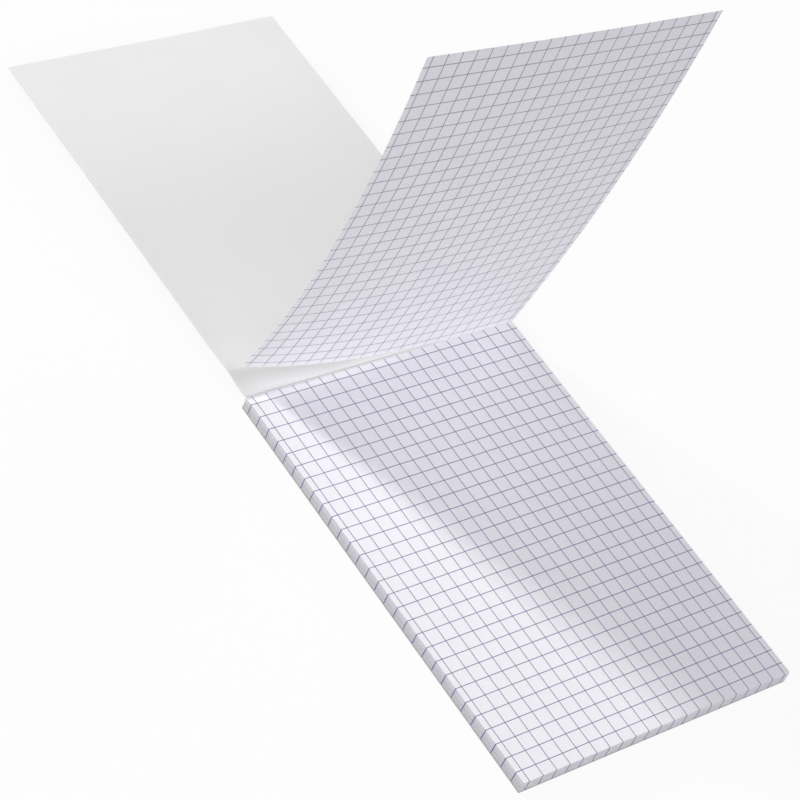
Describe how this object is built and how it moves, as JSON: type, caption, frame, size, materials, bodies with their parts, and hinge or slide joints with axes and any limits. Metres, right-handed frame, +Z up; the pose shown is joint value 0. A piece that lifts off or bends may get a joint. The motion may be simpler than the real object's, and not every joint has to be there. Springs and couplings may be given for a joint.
{
  "type": "memo pad with squared paper",
  "caption": "Head-glued pocket pad of squared paper, its card cover folded back flat behind it and its top sheet turned up and peeling off the glue at one end.",
  "frame": {"origin": "middle of the pad's underside", "axes": "+X along the glued head edge, to the right of someone writing on the pad; +Y past the head, where the opened cover lies; +Z up from the underside"},
  "size_m": [0.1073, 0.2964, 0.1535],
  "materials": {
    "pad_paper": "uncoated writing paper with a printed square grid",
    "sheet_paper": "uncoated writing paper with a printed square grid",
    "cover_card": "uncoated inner side of light card",
    "back_board": "thin grey board",
    "padding_glue": "dried white padding glue"
  },
  "bodies": {
    "pad": {"page_block": "pad_paper", "backing_board": "back_board", "head_glue": "padding_glue", "raised_sheet": "sheet_paper"},
    "cover": {"front_cover": "cover_card"}
  },
  "joints": [
    {"name": "cover_crease", "type": "hinge", "parent": "pad", "child": "cover", "pos_m": [0, 0.0744, 0.00441], "axis": [1, 0, 0], "range_deg": [-90, 12]}
  ]
}
